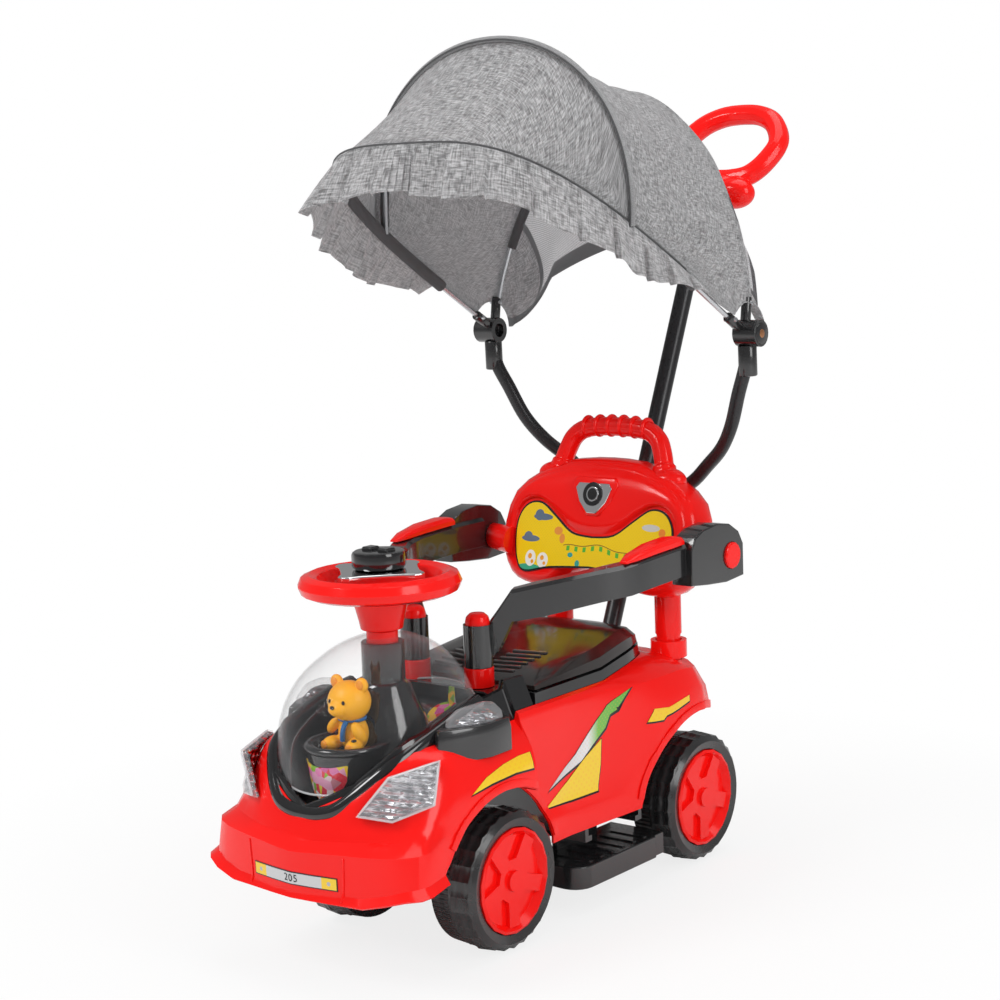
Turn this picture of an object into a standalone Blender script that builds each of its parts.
"""Foot-to-floor ride-on car with a parent handle, safety arms and a folding sun canopy.

Metres, +Z up. The car faces -Y and +X is its left side, seen by the driver.
Shapes are worked out with the middle of the wheelbase at Y = 0 and the floor at
Z = 0. The last step moves everything along Y so that the origin lies on the floor,
below the middle of the whole car.
"""
import math

import bmesh
import bpy
from mathutils import Matrix, Vector

# Driving dimensions
TAU = 2 * math.pi
GAP = 0.0003                # between neighbours that touch on the real car
RUNNING = 0.0006            # round a pin or an axle

# Wheels
WHEEL_RADIUS = 0.080
WHEEL_WIDTH = 0.060
WHEELBASE = 0.384
TRACK_OUTER = 0.131         # outer face of a wheel from the middle plane
TREAD_DEPTH = 0.0025
TREAD_BLOCKS = 28
HUB_RADIUS = 0.0597
HUB_SPOKES = 5
HUB_DISH = 0.009
AXLE_RADIUS = 0.004

# Body shell
WALL = 0.003
NOSE_Y = -0.410             # front of the bumper ridge
TAIL_Y = 0.226              # rear of the body
FENDER_HALF = 0.140         # half width over the fenders
DOOR_HALF = 0.114           # half width at the doors
LIP_FLARE = 0.008           # the bottom lip of the bumper stands out by this
LIP_Z = 0.101               # bottom edge of the body
RIDGE_Z = 0.155             # top of the bumper
SHOULDER_Z = 0.261          # red shoulder beside the seat
DECK_Z = 0.267              # rear deck
TIP_Z = 0.187               # top of the nose at the middle
FENDER_TOP_Z = 0.250
FRONT_ARCH_Y = -0.2145      # middle of the front arch
FRONT_ARCH_HALF = 0.1095
FRONT_ARCH_HEIGHT = 0.100   # above the arch base
ARCH_BASE_Z = 0.090
REAR_ARCH_HALF = 0.118
REAR_ARCH_HEIGHT = 0.106
ARCH_INNER_X = 0.058        # the arches are open outside this

# Opening in the top of the body
OPENING_REAR_Y = 0.148
CONSOLE_REAR_Y = -0.122
TRAY_FRONT_Y = -0.119

# Steering
COLUMN_Y = -0.248
COLUMN_RADIUS = 0.024
COLUMN_TOP_Z = 0.347
COLUMN_STEP_Z = 0.302
CONE_RADIUS = 0.046
SHAFT_RADIUS = 0.005
STEER_RIM_RADIUS = 0.0780   # middle of the rim tube
STEER_TUBE = 0.0125
STEER_RIM_Z = 0.412
NECK_RADIUS = 0.0175
RIBBED_TOP_RADIUS = 0.0318
RIBBED_LOW_RADIUS = 0.0235
RIBBED_Z = 0.372
HORN_RADIUS = 0.0300
HORN_HEIGHT = 0.020
CRANK_LENGTH = 0.034
KING_PIN_X = 0.052
KING_PIN_RADIUS = 0.005
STEER_ARM = CRANK_LENGTH - COLUMN_Y - WHEELBASE / 2

# Posts and backrest
POST_X = 0.047
POST_Y = -0.140
POST_RADIUS = 0.0165
POST_RING_Z = 0.279         # foot of the front posts
SLEEVE_LOW_Z = 0.302        # lower end of the arm's sleeve
SLEEVE_TOP_Z = 0.3505
DOME_TOP_Z = 0.3645
REAR_POST_X = 0.083
REAR_POST_Y = 0.188
REAR_POST_RADIUS = 0.0165
REAR_POST_FOOT_Z = 0.245
REAR_POST_TOP_Z = 0.366
BACK_LEAN = math.radians(10)
BACK_THICK = 0.056
BACK_HALF = 0.150
BACK_TOP_Z = 0.497
BACK_LOW_Z = 0.333
BACK_Y = 0.196              # middle of the backrest at BACK_REF_Z
BACK_REF_Z = 0.410
HANDLE_HALF = 0.083
HANDLE_TOP_Z = 0.537
HANDLE_TUBE = 0.0125

# Arms
ARM_PIVOT_Y = 0.160
ARM_PIVOT_Z = 0.392
ARM_INNER_X = 0.160
ARM_THICK = 0.027
ARM_HEIGHT = 0.036
ARM_BOSS_RADIUS = 0.017
ARM_BUTTON_RADIUS = 0.016

# Push handle
POLE_RADIUS = 0.0115
POLE_FOOT = (0.174, 0.265)  # Y and Z where the pole meets the deck
POLE_LEAN = math.radians(24.2)
POLE_LENGTH = 0.585
HANDLE_LEAN = 40            # degrees from upright
HANDLE_LOW = 0.050          # grip's lower bar above the end of the pole
HANDLE_HIGH = 0.161         # grip's top above the end of the pole
LOOP_HALF = 0.0750
LOOP_TUBE = 0.0135

# Canopy
CANOPY_X = 0.190
KNUCKLE_RADIUS = 0.0160
KNUCKLE_REACH = 0.023       # outer face of a canopy knuckle beyond its tube
CANOPY_Y = 0.207
CANOPY_Z = 0.654
HOOP_RADIUS = 0.003
FRONT_HOOP_TILT = math.radians(30.5)
FRONT_HOOP_REACH = 0.443
MIDDLE_HOOP_TILT = math.radians(57)
MIDDLE_HOOP_REACH = 0.405
REAR_HOOP_TILT = math.radians(98)
REAR_HOOP_REACH = 0.292
MIDDLE_HOOP_START = 0.258   # where the middle hoop leaves the front hoop
FRONT_ARCH_POWER = 0.58     # the front hoop has the squarest corners
MIDDLE_ARCH_POWER = 0.95
REAR_ARCH_POWER = 1.12
COVER_END = 142             # degrees; the cloth's rear edge at the middle
LOBE_END = 177              # degrees; the rear edge at the side lobes
COVER_FOLD = 0.003
REAR_WAIST = 0.022          # the cloth behind the rear hoop is drawn in by this
FRILL_WAVE = 0.0022
COVER_SAG = 0.004           # dip of the cloth between two hoops
REAR_SAG = 0.012
CLOTH_THICK = 0.0016
FRILL_DEPTH = 0.045

# Seat
LID_THICK = 0.003
LID_TOP_Z = 0.303
LID_FRONT_Z = 0.285
LID_HINGE_Z = 0.276
TRAY_DEPTH = 0.085
TRAY_RISE = 0.012

# Footboards
BOARD_TOP_Z = 0.058
BOARD_THICK = 0.027
BOARD_OUTER_X = 0.128
BOARD_INNER_X = 0.046
BOARD_FRONT_Y = 0.122 - WHEELBASE / 2
BOARD_REAR_Y = WHEELBASE / 2 - 0.086
PAN_Z = 0.098               # underside of the chassis pan
PAN_THICK = 0.006

for old in list(bpy.data.objects):
    bpy.data.objects.remove(old, do_unlink=True)


# Helpers

PIVOTS = {}
MATERIALS = {}


def material(name, colour, roughness, metallic=0.0, alpha=1.0):
    """A Principled material, made once for each name; the colour is sRGB."""
    if name not in MATERIALS:
        made = bpy.data.materials.new(name)
        made.use_nodes = True
        shader = made.node_tree.nodes["Principled BSDF"]
        linear = [((c + 0.055) / 1.055) ** 2.4 if c > 0.04045 else c / 12.92 for c in colour]
        shader.inputs["Base Color"].default_value = (*linear, 1.0)
        shader.inputs["Roughness"].default_value = roughness
        shader.inputs["Metallic"].default_value = metallic
        shader.inputs["Alpha"].default_value = alpha
        made.diffuse_color = (*linear, alpha)
        MATERIALS[name] = made
    return MATERIALS[name]


def red():
    return material("red_gloss_plastic", (0.93, 0.10, 0.08), 0.25)


def black():
    return material("black_plastic", (0.08, 0.08, 0.08), 0.40)


def gloss_black():
    return material("black_gloss_plastic", (0.05, 0.05, 0.05), 0.18)


def clear():
    return material("clear_plastic", (0.92, 0.94, 0.96), 0.05, alpha=0.30)


def smoked():
    return material("smoked_plastic", (0.16, 0.15, 0.15), 0.12, alpha=0.60)


def chrome():
    return material("chromed_plastic", (0.85, 0.86, 0.88), 0.08, metallic=1.0)


def steel():
    return material("zinc_steel", (0.62, 0.63, 0.65), 0.35, metallic=1.0)


def tyre_black():
    return material("tyre_plastic", (0.07, 0.07, 0.07), 0.50)


def yellow():
    return material("yellow_print", (0.98, 0.85, 0.10), 0.35)


def orange():
    return material("orange_vinyl", (0.96, 0.62, 0.12), 0.45)


def grey_cloth():
    return material("grey_melange_cloth", (0.50, 0.51, 0.52), 0.90)


def pivot(name, point, parent="car"):
    """An empty on a joint's axis that carries the pieces of one moving body."""
    empty = bpy.data.objects.new("pivot_" + name, None)
    bpy.context.scene.collection.objects.link(empty)
    PIVOTS[name] = (empty, Vector(point))
    if name != "car":
        mother, mother_point = PIVOTS[parent]
        empty.parent = mother
        empty.location = Vector(point) - mother_point
    else:
        empty.location = point


def tidy(bm):
    """Merge doubles and turn every face outwards."""
    bmesh.ops.remove_doubles(bm, verts=bm.verts, dist=2e-6)
    bmesh.ops.dissolve_degenerate(bm, edges=bm.edges, dist=1e-7)
    bmesh.ops.recalc_face_normals(bm, faces=bm.faces)
    if bm.calc_volume(signed=True) < 0:
        bmesh.ops.reverse_faces(bm, faces=bm.faces)
    return bm


def new_object(name, bm, finish=None, body=None, smooth=40):
    """Make an object from a bmesh; with a body, hang it on that body's pivot."""
    mesh = bpy.data.meshes.new(name)
    bm.to_mesh(mesh)
    bm.free()
    made = bpy.data.objects.new(name, mesh)
    bpy.context.scene.collection.objects.link(made)
    if finish is not None:
        mesh.materials.append(finish)
    if smooth:
        mesh.shade_smooth()
        mesh.set_sharp_from_angle(angle=math.radians(smooth))
    if body is not None:
        empty, point = PIVOTS[body]
        mesh.transform(Matrix.Translation(-point))
        made.parent = empty
    return made


def bmesh_of(scratch):
    """The evaluated shape of a scratch object, which is then removed."""
    shaped = scratch.evaluated_get(bpy.context.evaluated_depsgraph_get())
    bm = bmesh.new()
    bm.from_mesh(shaped.to_mesh())
    shaped.to_mesh_clear()
    bpy.data.objects.remove(scratch, do_unlink=True)
    return bm


def combine(base, tool, operation, solver='EXACT'):
    """Boolean of two closed bmeshes; the result takes their place."""
    target = new_object("scratch_base", base, smooth=0)
    other = new_object("scratch_tool", tool, smooth=0)
    cut = target.modifiers.new("combine", 'BOOLEAN')
    cut.object = other
    cut.operation = operation
    cut.solver = solver
    result = bmesh_of(target)
    bpy.data.objects.remove(other, do_unlink=True)
    bmesh.ops.remove_doubles(result, verts=result.verts, dist=2e-6)
    return result


def union(*shapes):
    result = shapes[0]
    for shape in shapes[1:]:
        result = combine(result, shape, 'UNION')
    return result


def minus(base, *tools):
    for tool in tools:
        base = combine(base, tool, 'DIFFERENCE')
    return base


def moved(bm, offset=(0, 0, 0), turn=None, axis='X'):
    """Turn a bmesh about the origin, then move it."""
    if turn:
        bmesh.ops.rotate(bm, verts=bm.verts, matrix=Matrix.Rotation(turn, 3, axis))
    bmesh.ops.translate(bm, verts=bm.verts, vec=Vector(offset))
    return bm


def mirrored(bm):
    """The same shape on the other side of the middle plane."""
    for vert in bm.verts:
        vert.co.x = -vert.co.x
    bmesh.ops.reverse_faces(bm, faces=bm.faces)
    return bm


def turned(profile, segments, closed=False):
    """Turn a profile of (radius, z) points round the Z axis."""
    bm = bmesh.new()
    verts = [bm.verts.new((r, 0, z)) for r, z in profile]
    pairs = list(zip(verts, verts[1:]))
    if closed:
        pairs.append((verts[-1], verts[0]))
    edges = [bm.edges.new(pair) for pair in pairs]
    bmesh.ops.spin(bm, geom=verts + edges, cent=(0, 0, 0), axis=(0, 0, 1), angle=TAU,
                   steps=segments, use_merge=True)
    return tidy(bm)


def rod_along_x(radius, x0, x1, y, z, segments=12):
    """A plain rod between two points of a line along X."""
    bm = turned([(0, x0), (radius, x0), (radius, x1), (0, x1)], segments)
    return moved(bm, (0, y, z), math.radians(90), 'Y')


def upright(radius, z0, z1, x, y, segments=12):
    """A plain upright rod."""
    return moved(turned([(0, z0), (radius, z0), (radius, z1), (0, z1)], segments), (x, y, 0))


def block(low, high, bevel=0.0, steps=1):
    """A box between two corners, with its edges rounded."""
    bm = bmesh.new()
    bmesh.ops.create_cube(bm, size=1.0)
    size = [b - a for a, b in zip(low, high)]
    middle = [(a + b) / 2 for a, b in zip(low, high)]
    bmesh.ops.scale(bm, vec=size, verts=bm.verts)
    if bevel:
        bmesh.ops.bevel(bm, geom=bm.edges, offset=bevel, segments=steps, profile=0.5,
                        affect='EDGES')
    bmesh.ops.translate(bm, vec=middle, verts=bm.verts)
    return tidy(bm)


def loft(rings, cap_start=True, cap_end=True, closed_rings=True):
    """Join rings with equal numbers of points by quads, and cap the two ends."""
    bm = bmesh.new()
    rows = [[bm.verts.new(p) for p in ring] for ring in rings]
    count = len(rows[0])
    last = count if closed_rings else count - 1
    for low, high in zip(rows, rows[1:]):
        for i in range(last):
            j = (i + 1) % count
            bm.faces.new((low[i], low[j], high[j], high[i]))
    if cap_start:
        bm.faces.new(rows[0])
    if cap_end:
        bm.faces.new(rows[-1])
    return bm


def prism(outline, low, high, axis='Z', bevel=0.0):
    """Extrude a flat outline between two heights; axis X takes (y, z) points."""
    def point(a, b, height):
        return (a, b, height) if axis == 'Z' else (height, a, b)
    bm = loft([[point(a, b, h) for a, b in outline] for h in (low, high)])
    tidy(bm)
    if bevel:
        rims = [e for e in bm.edges if e.calc_face_angle(0) > math.radians(60)
                and len({round((v.co.z if axis == 'Z' else v.co.x), 6) for v in e.verts}) == 1]
        bmesh.ops.bevel(bm, geom=rims, offset=bevel, segments=2, profile=0.5, affect='EDGES')
        tidy(bm)
    return bm


def rod(points, radius, sides=8, ring=False):
    """A round bar along points, made as a bevelled curve."""
    curve = bpy.data.curves.new("scratch_curve", 'CURVE')
    curve.dimensions = '3D'
    curve.bevel_depth = radius
    curve.bevel_resolution = max(0, sides // 2 - 2)
    curve.use_fill_caps = True
    spline = curve.splines.new('POLY')
    spline.points.add(len(points) - 1)
    for knot, point in zip(spline.points, points):
        knot.co = (*point, 1.0)
    spline.use_cyclic_u = ring
    scratch = bpy.data.objects.new("scratch_rod", curve)
    bpy.context.scene.collection.objects.link(scratch)
    return tidy(bmesh_of(scratch))


def smooth_points(keys, per_span, ring=False):
    """Points on a Catmull-Rom curve through the keys."""
    count = len(keys)
    spans = count if ring else count - 1
    steps = [per_span] * spans if isinstance(per_span, int) else per_span
    result = []
    for i in range(spans):
        ids = (i - 1, i, i + 1, i + 2)
        if ring:
            p0, p1, p2, p3 = (Vector(keys[k % count]) for k in ids)
        else:
            p0, p1, p2, p3 = (Vector(keys[min(max(k, 0), count - 1)]) for k in ids)
        for s in range(steps[i]):
            t = s / steps[i]
            result.append(0.5 * (2 * p1 + (p2 - p0) * t + (2 * p0 - 5 * p1 + 4 * p2 - p3) * t * t
                                 + (3 * p1 - p0 - 3 * p2 + p3) * t ** 3))
    if not ring:
        result.append(Vector(keys[-1]))
    return result


def arc(centre, radius, start, end, steps):
    """Points on an arc in the plane, with the angles in degrees."""
    angles = [math.radians(start + (end - start) * i / steps) for i in range(steps + 1)]
    return [(centre[0] + radius * math.cos(a), centre[1] + radius * math.sin(a)) for a in angles]


def solid_of_sheet(bm, thickness, offset=-1.0):
    """Give an open sheet its wall; offset -1 puts the wall on the inner side."""
    scratch = new_object("scratch_sheet", bm, smooth=0)
    wall = scratch.modifiers.new("wall", 'SOLIDIFY')
    wall.thickness = thickness
    wall.offset = offset
    wall.use_even_offset = False
    return tidy(bmesh_of(scratch))


def inset_loop(loop, distance):
    """Move a closed plan loop inwards; heights stay."""
    count = len(loop)
    result = []
    for i, point in enumerate(loop):
        before, after = Vector(loop[i - 1]), Vector(loop[(i + 1) % count])
        along = (after - before).to_2d()
        inward = Vector((-along.y, along.x)).normalized()
        result.append(Vector((point[0] + inward.x * distance, point[1] + inward.y * distance,
                              point[2])))
    return result


# Body shell

def shell_keys():
    """Sections round half of the body, from the nose to the tail.

    Each has seven points from the bottom lip up to the opening in the top: lip,
    above the lip, bumper top, step, side, shoulder and opening edge.
    """
    n, f, d, t = NOSE_Y, FENDER_HALF, DOOR_HALF, TAIL_Y
    low, ridge = LIP_Z, RIDGE_Z
    lip = f + LIP_FLARE
    top = FENDER_TOP_Z
    front = [
        [(0, n - 0.002, low), (0, n + 0.002, low + 0.008), (0, n, ridge - 0.004),
         (0, n + 0.012, ridge + 0.005), (0, n + 0.017, ridge + 0.017),
         (0, n + 0.020, TIP_Z - 0.006), (0, n + 0.0235, TIP_Z)],
        [(0.063, n + 0.006, low), (0.061, n + 0.0105, low + 0.009),
         (0.061, n + 0.0095, ridge - 0.001), (0.060, n + 0.023, ridge + 0.009),
         (0.062, n + 0.027, ridge + 0.027), (0.061, n + 0.035, TIP_Z + 0.016),
         (0.0575, n + 0.041, TIP_Z + 0.026)],
        [(0.113, n + 0.024, low + 0.001), (0.107, n + 0.031, low + 0.010),
         (0.106, n + 0.032, ridge), (0.104, n + 0.044, ridge + 0.011),
         (0.104, n + 0.053, ridge + 0.040), (0.098, n + 0.068, top - 0.019),
         (0.0895, n + 0.080, top - 0.0035)],
        [(lip - 0.002, n + 0.048, low + 0.001), (f - 0.003, n + 0.053, low + 0.011),
         (f - 0.003, n + 0.054, ridge + 0.002), (f - 0.008, n + 0.064, ridge + 0.012),
         (f - 0.009, n + 0.079, ridge + 0.045), (f - 0.021, n + 0.100, top - 0.015),
         (0.101, n + 0.110, top + 0.001)],
        [(lip, n + 0.085, low + 0.002), (f, n + 0.089, low + 0.012),
         (f + 0.001, n + 0.092, ridge + 0.002), (f - 0.001, n + 0.096, ridge + 0.010),
         (f, n + 0.114, ridge + 0.045), (f - 0.012, n + 0.130, top - 0.016),
         (0.105, n + 0.140, top + 0.002)],
        [(lip - 0.002, -0.235, low), (f, -0.235, low + 0.010), (f + 0.001, -0.235, ridge - 0.005),
         (f + 0.002, -0.235, ridge + 0.010), (f + 0.001, -0.235, ridge + 0.040),
         (f - 0.009, -0.235, top - 0.021), (0.107, -0.235, top)],
        [(f + 0.002, -0.160, low), (f, -0.160, low + 0.010), (f, -0.160, ridge - 0.005),
         (f, -0.160, ridge + 0.010), (f, -0.160, ridge + 0.040),
         (f - 0.006, -0.160, top - 0.025), (0.109, -0.158, top + 0.002)],
    ]
    sill = low - 0.003
    door = [(y, d + x, shoulder) for y, x, shoulder in
            ((-0.156, 0.0, 0.002), (-0.070, -0.003, 0.0), (0.015, 0.002, -0.001))]
    rear = [[(x + 0.006, y, sill), (x + 0.007, y, sill + 0.009), (x + 0.005, y, sill + 0.027),
             (x, y, sill + 0.042), (x - 0.001, y, sill + 0.095),
             (d + 0.003, y, SHOULDER_Z - 0.012), (0.110 - drop, y, SHOULDER_Z)]
            for (y, x, _), drop in zip(door, (0.0, 0.001, 0.003))]
    deck = DECK_Z
    rear += [
        [(f - 0.004, 0.075, low + 0.002), (f - 0.003, 0.075, low + 0.010),
         (f - 0.003, 0.075, low + 0.040), (f - 0.003, 0.075, low + 0.060),
         (f - 0.004, 0.075, low + 0.100), (f - 0.013, 0.075, deck - 0.017),
         (0.100, 0.075, deck + 0.001)],
        [(f + 0.001, 0.145, low + 0.002), (f + 0.001, 0.145, low + 0.010),
         (f + 0.001, 0.145, low + 0.040), (f + 0.001, 0.145, low + 0.060),
         (f, 0.145, low + 0.100), (f - 0.011, 0.145, deck - 0.016),
         (0.088, 0.118, deck + 0.004)],
        [(f - 0.009, t - 0.016, low + 0.002), (f - 0.009, t - 0.014, low + 0.009),
         (f - 0.008, t - 0.011, low + 0.049), (f - 0.009, t - 0.013, low + 0.064),
         (f - 0.010, t - 0.020, low + 0.094), (f - 0.023, t - 0.033, deck - 0.022),
         (0.068, 0.138, deck + 0.003)],
        [(0.078, t - 0.004, low + 0.002), (0.078, t - 0.003, low + 0.009),
         (0.078, t, low + 0.049), (0.078, t - 0.002, low + 0.064),
         (0.077, t - 0.007, low + 0.094), (0.074, t - 0.015, deck - 0.014),
         (0.036, OPENING_REAR_Y - 0.001, deck + 0.001)],
        [(0, t - 0.004, low + 0.002), (0, t - 0.003, low + 0.009), (0, t, low + 0.049),
         (0, t - 0.002, low + 0.064), (0, t - 0.007, low + 0.094), (0, t - 0.014, deck - 0.013),
         (0, OPENING_REAR_Y, deck)],
    ]
    return front, rear


def shell_sections():
    """All sections round the whole body, each with ten points from bottom to top."""
    half = []
    shell_halves = shell_keys()
    for keys in shell_halves:
        spans = [2, 2, 2, 2, 1, 1] if keys is shell_halves[0] else [1, 1, 1, 2, 2, 2, 2]
        tracks = [smooth_points([section[k] for section in keys], spans) for k in range(7)]
        for column in zip(*tracks):
            upper = smooth_points(column[3:], 2)
            half.append([*column[:3], *upper])
    other = [[Vector((-p.x, p.y, p.z)) for p in section] for section in half[-2:0:-1]]
    return half + other


def opening_edge():
    """The loop of points where the top of the body ends."""
    return [section[-1].copy() for section in shell_sections()]


def arch_outline(middle, half, height, rear_cut=None):
    """Half an ellipse in the side view, closed a little below the body."""
    points = [(middle + half * math.cos(a), ARCH_BASE_Z + height * math.sin(a))
              for a in (math.pi * i / 20 for i in range(21))]
    if rear_cut is not None:
        points = [p for p in points if p[1] > ARCH_BASE_Z + 0.02 or p[0] < middle]
        points = [(rear_cut, ARCH_BASE_Z - 0.03), (rear_cut, points[0][1])] + points
    else:
        points = [(middle + half, ARCH_BASE_Z - 0.03)] + points
    return points + [(middle - half, ARCH_BASE_Z - 0.03)]


def body_shell():
    sections = shell_sections()
    rings = [[section[k] for section in sections] for k in range(len(sections[0]))]
    sheet = loft(rings, cap_start=False, cap_end=False)
    bmesh.ops.recalc_face_normals(sheet, faces=sheet.faces)
    side = next(f for f in sheet.faces if f.calc_center_median().x > 0.13)
    if side.normal.x < 0:
        bmesh.ops.reverse_faces(sheet, faces=sheet.faces)
    shell = solid_of_sheet(sheet, WALL)
    for sign in (1, -1):
        x0, x1 = sorted((sign * ARCH_INNER_X, sign * (FENDER_HALF + 0.03)))
        front = prism(arch_outline(FRONT_ARCH_Y, FRONT_ARCH_HALF, FRONT_ARCH_HEIGHT),
                      x0, x1, 'X')
        rear = prism(arch_outline(WHEELBASE / 2 - 0.022, REAR_ARCH_HALF, REAR_ARCH_HEIGHT,
                                  TAIL_Y + 0.03), x0, x1, 'X')
        shell = minus(shell, front, rear)
        boss = upright(REAR_POST_RADIUS + 0.006, DECK_Z - 0.012, DECK_Z + 0.009,
                       sign * REAR_POST_X, REAR_POST_Y, 20)
        shell = union(shell, boss)
        hole = upright(REAR_POST_RADIUS + GAP, DECK_Z - 0.05, DECK_Z + 0.03,
                       sign * REAR_POST_X, REAR_POST_Y, 20)
        shell = minus(shell, hole)
    collar = pole_piece(POLE_RADIUS + 0.007, -0.018, 0.012, 20)
    hole = pole_piece(POLE_RADIUS + GAP, -0.06, 0.04, 20)
    shell = minus(union(shell, collar), hole)
    new_object("body_shell", shell, red(), "car")


def pole_piece(radius, start, end, segments):
    """A round bar on the push pole's line, between two lengths above the deck."""
    bm = turned([(0, start), (radius, start), (radius, end), (0, end)], segments)
    return moved(bm, (0, POLE_FOOT[0], POLE_FOOT[1]), -POLE_LEAN, 'X')


# Console and windshield

def split_opening(cut_y, front):
    """The part of the opening's edge before or behind a straight cut across it."""
    loop = opening_edge()
    half = [p for p in loop[:len(loop) // 2 + 1]]
    kept = []
    for a, b in zip(half, half[1:]):
        if (a.y < cut_y) != (b.y < cut_y):
            kept_cut = a.lerp(b, (cut_y - a.y) / (b.y - a.y))
    if front:
        kept = [p for p in half if p.y < cut_y - 0.002] + [kept_cut]
    else:
        kept = [kept_cut] + [p for p in half if p.y > cut_y + 0.002]
    return kept


def console_loop():
    """Closed plan loop of the console: the nose curve and a straight rear edge."""
    side = split_opening(CONSOLE_REAR_Y, True)
    corner = side[-1]
    rear = [Vector((corner.x * k, CONSOLE_REAR_Y, corner.z)) for k in (0.6, 0.2, -0.2, -0.6)]
    other = [Vector((-p.x, p.y, p.z)) for p in side[:0:-1]]
    return side + rear + other


def track(value, pairs):
    """Straight-line look-up in (position, value) pairs."""
    if value <= pairs[0][0]:
        return pairs[0][1]
    for (a, va), (b, vb) in zip(pairs, pairs[1:]):
        if value <= b:
            return va + (vb - va) * (value - a) / (b - a)
    return pairs[-1][1]


def console_floor(y):
    return track(y, [(-0.372, 0.176), (-0.300, 0.204), (-0.240, 0.226), (-0.190, 0.245),
                     (-0.172, 0.258), (-0.160, POST_RING_Z - 0.010),
                     (CONSOLE_REAR_Y, POST_RING_Z - 0.006)])


def console_rise(y):
    """How far the black wall of the console stands above the red shoulder."""
    return track(y, [(-0.375, 0.006), (-0.330, 0.007), (-0.250, 0.022), (-0.200, 0.034),
                     (CONSOLE_REAR_Y, 0.032)])


def console_step(y):
    """How far the wall stands inside the edge of the opening."""
    return track(y, [(-0.340, 0.0), (-0.260, 0.008), (-0.200, 0.012), (CONSOLE_REAR_Y, 0.012)])


def console():
    loop = console_loop()
    rings = []
    for inset, lift, share in ((0.0055, -0.014, 0), (0.0045, -0.0018, 0), (0.0008, 0.0004, 0),
                               (0.0020, 0.0, 1.0), (0.0055, 0.0015, 1.0), (0.0095, -0.001, 1.0)):
        ring = inset_loop(loop, inset)
        for p in ring:
            p.z += lift + share * console_rise(p.y)
            if share and p.y > CONSOLE_REAR_Y - 0.012 and abs(p.x) < 0.09:
                p.z = POST_RING_Z - 0.006 - abs(lift)
            elif share:
                p.x -= math.copysign(min(console_step(p.y), abs(p.x)), p.x)
        rings.append(ring)
    inner = inset_loop(loop, 0.0150)
    for p in inner:
        p.x -= math.copysign(min(console_step(p.y), abs(p.x)), p.x)
        p.z = console_floor(p.y) + 0.001
    rings.append(inner)
    middle = Vector((0, COLUMN_Y, 0))
    centre = [middle + (p - middle) * 0.5 for p in inner]
    for p in centre:
        p.z = console_floor(p.y)
    rings.append(centre)
    sheet = loft(rings, cap_start=False, cap_end=True)
    bmesh.ops.recalc_face_normals(sheet, faces=sheet.faces)
    if max(sheet.faces, key=lambda face: len(face.verts)).normal.z < 0:
        bmesh.ops.reverse_faces(sheet, faces=sheet.faces)
    shape = solid_of_sheet(sheet, 0.0024)
    tub = turned([(0, 0.186), (0.035, 0.186), (0.0425, 0.238), (0.0405, 0.2475),
                  (0.0345, 0.2475), (0.0315, 0.240), (0, 0.240)], 24)
    moved(tub, (0, -0.3155, 0))
    base = console_floor(COLUMN_Y) - 0.012
    column = turned([(0, base), (CONE_RADIUS + 0.016, base), (CONE_RADIUS, 0.257),
                     (0.0285, COLUMN_STEP_Z - 0.003), (COLUMN_RADIUS, COLUMN_STEP_Z + 0.001),
                     (COLUMN_RADIUS, COLUMN_TOP_Z - 0.001), (COLUMN_RADIUS - 0.001, COLUMN_TOP_Z),
                     (NECK_RADIUS + 0.001, COLUMN_TOP_Z),
                     (NECK_RADIUS + 0.001, COLUMN_TOP_Z - 0.008), (0, COLUMN_TOP_Z - 0.008)], 24)
    moved(column, (0, COLUMN_Y, 0))
    shape = union(shape, tub, column)
    top = POST_RING_Z
    outline = [(-0.085, top - 0.0137), (0.085, top - 0.0137), (0.085, top - 0.0055),
               (0.068, top), (-0.068, top), (-0.085, top - 0.0055)]
    rings = [[(x, y, z) for x, z in outline]
             for y in (POST_Y - POST_RADIUS - 0.003, CONSOLE_REAR_Y - 0.0013)]
    shape = combine(shape, tidy(loft(rings)), 'UNION', 'MANIFOLD')
    bore = upright(SHAFT_RADIUS + RUNNING, 0.15, COLUMN_TOP_Z + 0.02, 0, COLUMN_Y, 16)
    shape = combine(shape, bore, 'DIFFERENCE', 'MANIFOLD')
    new_object("console", shape, gloss_black(), "car")


def windshield():
    """A clear bubble from the nose over to the steering column's top."""
    rear_y, rear_z = -0.163, console_floor(-0.163) + 0.003
    front_y, front_z = -0.3645, 0.2060
    columns, rows = 24, 6
    middle = Vector((0, (front_y + rear_y) / 2, (front_z + rear_z) / 2))
    along = Vector((0, rear_y - front_y, rear_z - front_z)) / 2
    normal = Vector((0, -along.z, along.y)).normalized()
    rings = []
    for k in range(rows):
        rise = math.radians(90 * k / rows)
        ring = []
        for i in range(columns):
            a = TAU * i / columns
            c, s = math.cos(a), math.sin(a)
            c = math.copysign(abs(c) ** 0.85, c)
            spread = math.cos(rise) ** 0.75
            point = middle + along * (-c * spread) + Vector((0.082 * s * spread, 0, 0))
            ring.append(point + normal * 0.101 * math.sin(rise))
        rings.append(ring)
    sheet = loft(rings, cap_start=False, cap_end=True)
    bmesh.ops.recalc_face_normals(sheet, faces=sheet.faces)
    if max(sheet.faces, key=lambda face: len(face.verts)).normal.z < 0:
        bmesh.ops.reverse_faces(sheet, faces=sheet.faces)
    shape = solid_of_sheet(sheet, 0.0018)
    hole = upright(COLUMN_RADIUS + GAP * 2, 0.25, 0.42, 0, COLUMN_Y, 24)
    new_object("windshield", minus(shape, hole), clear(), "car")


# Chassis, wheels and steering

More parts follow.
